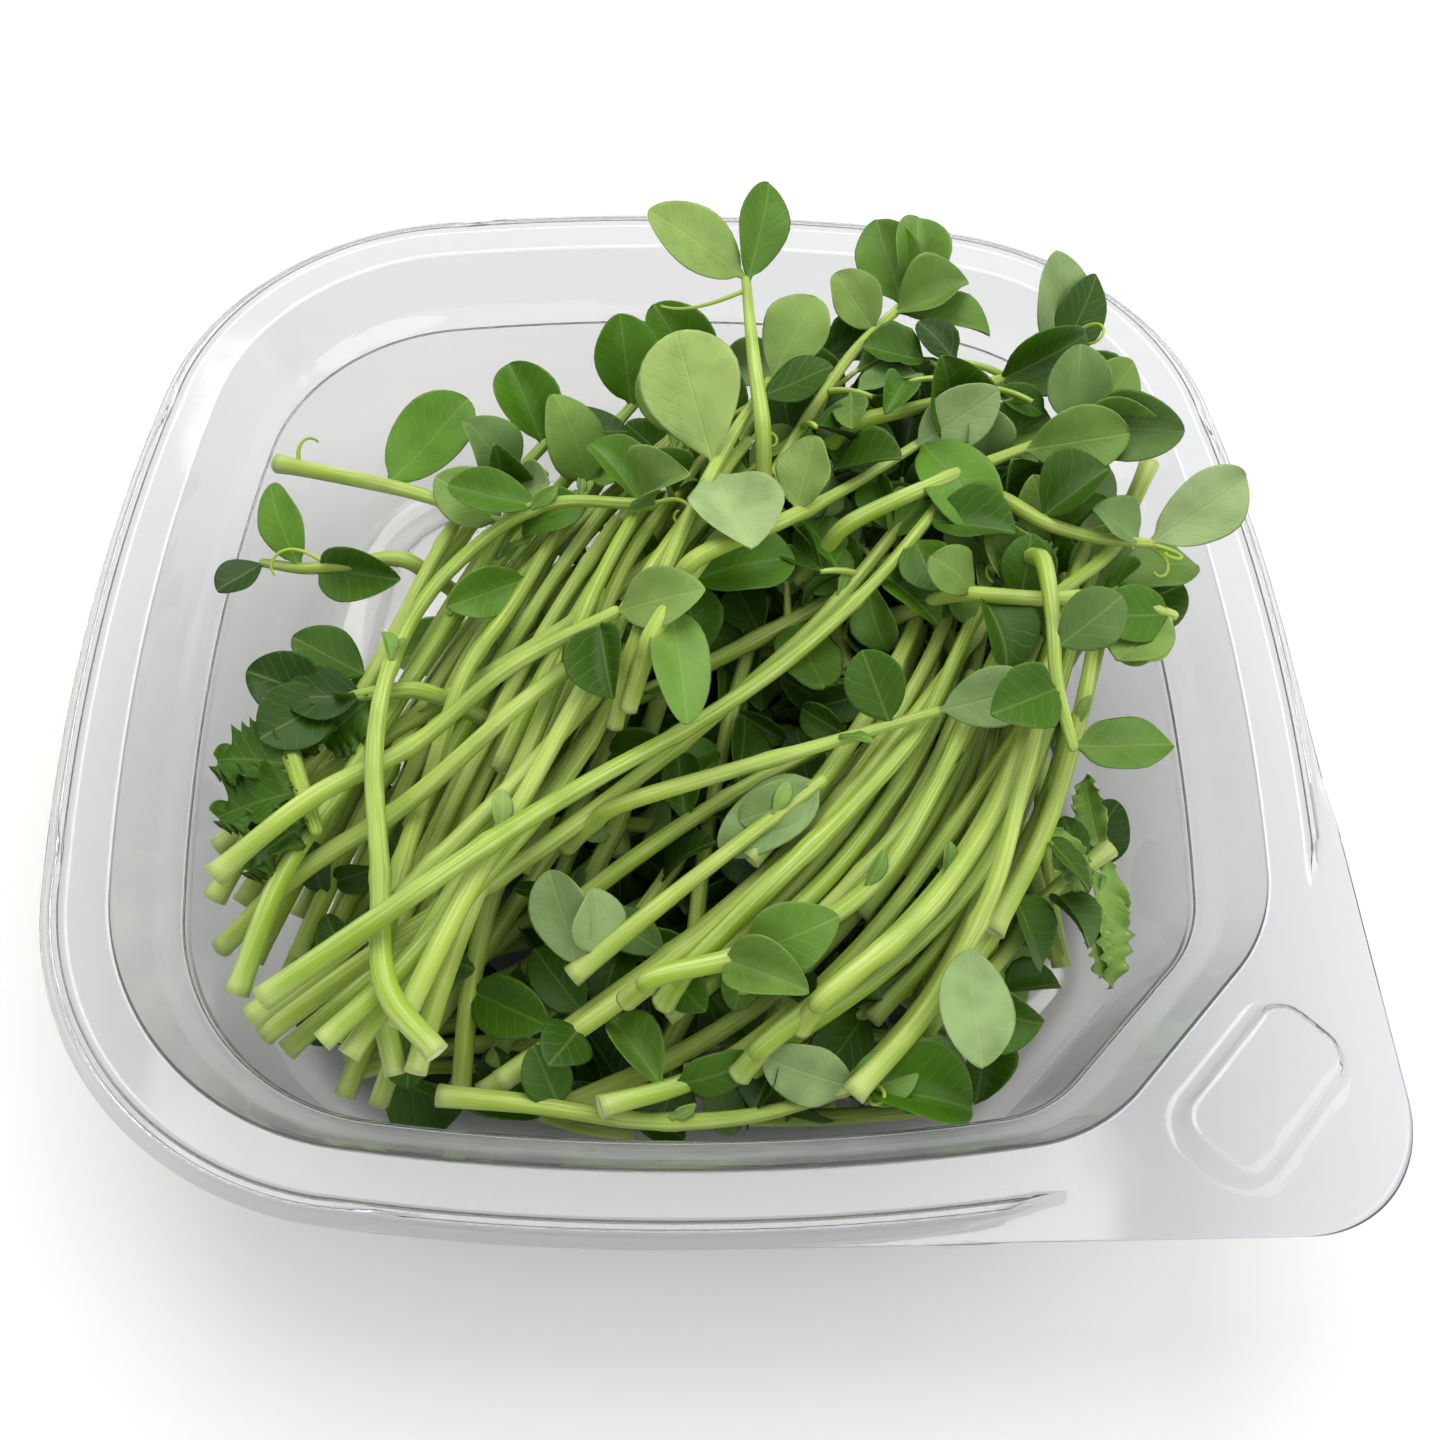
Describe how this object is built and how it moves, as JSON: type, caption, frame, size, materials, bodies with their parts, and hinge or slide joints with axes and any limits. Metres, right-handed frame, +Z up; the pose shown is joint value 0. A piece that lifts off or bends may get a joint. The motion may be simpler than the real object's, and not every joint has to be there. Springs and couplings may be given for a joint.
{
  "type": "pea shoot microgreens tray",
  "caption": "Heap of cut pea shoots, stems and paired leaflets, lying loose in a clear shallow square plastic deli tray with a corner tab.",
  "frame": {"origin": "middle of the tray's underside, on the surface that it stands on", "axes": "+Z up out of the tray, +X to the right and +Y to the back, with the tab at the front right corner"},
  "size_m": [0.19, 0.19, 0.0831],
  "materials": {
    "clear_plastic": "gloss",
    "pea_shoot": "satin"
  },
  "bodies": {
    "root": {"tray": "clear_plastic", "bunch_bottom": "pea_shoot", "bunch_cross": "pea_shoot", "bunch_front": "pea_shoot", "bunch_left": "pea_shoot", "bunch_right": "pea_shoot", "shoot_lower_a": "pea_shoot", "shoot_lower_b": "pea_shoot", "shoot_lower_c": "pea_shoot", "shoot_lower_d": "pea_shoot", "shoot_lower_e": "pea_shoot", "shoot_left_a": "pea_shoot", "shoot_left_b": "pea_shoot", "shoot_left_c": "pea_shoot", "shoot_left_d": "pea_shoot", "shoot_right_a": "pea_shoot", "shoot_right_b": "pea_shoot", "shoot_left_e": "pea_shoot", "shoot_right_c": "pea_shoot", "shoot_left_f": "pea_shoot", "shoot_front": "pea_shoot", "shoot_right_d": "pea_shoot", "shoot_left_g": "pea_shoot", "shoot_left_m": "pea_shoot", "shoot_left_n": "pea_shoot", "shoot_left_l": "pea_shoot", "shoot_left_o": "pea_shoot", "shoot_left_j": "pea_shoot", "shoot_left_k": "pea_shoot", "shoot_right_k": "pea_shoot", "shoot_right_h": "pea_shoot", "shoot_right_i": "pea_shoot", "shoot_right_j": "pea_shoot", "shoot_left_h": "pea_shoot", "shoot_right_e": "pea_shoot", "shoot_right_f": "pea_shoot", "shoot_left_r": "pea_shoot", "shoot_left_end": "pea_shoot", "shoot_left_p": "pea_shoot", "shoot_right_l": "pea_shoot", "shoot_right_m": "pea_shoot", "shoot_left_i": "pea_shoot", "shoot_left_tip": "pea_shoot", "shoot_left_dark": "pea_shoot", "shoot_middle": "pea_shoot", "shoot_back_left": "pea_shoot", "shoot_crossing": "pea_shoot", "shoot_right_end": "pea_shoot", "shoot_big_leaf": "pea_shoot", "shoot_back_right": "pea_shoot", "shoot_right_g": "pea_shoot", "shoot_bright_pair": "pea_shoot", "shoot_arch": "pea_shoot", "shoot_long": "pea_shoot", "shoot_right_leaf": "pea_shoot", "shoot_far_right": "pea_shoot", "shoot_drooping": "pea_shoot", "shoot_mass_a": "pea_shoot", "shoot_mass_b": "pea_shoot", "shoot_top": "pea_shoot"}
  },
  "joints": []
}
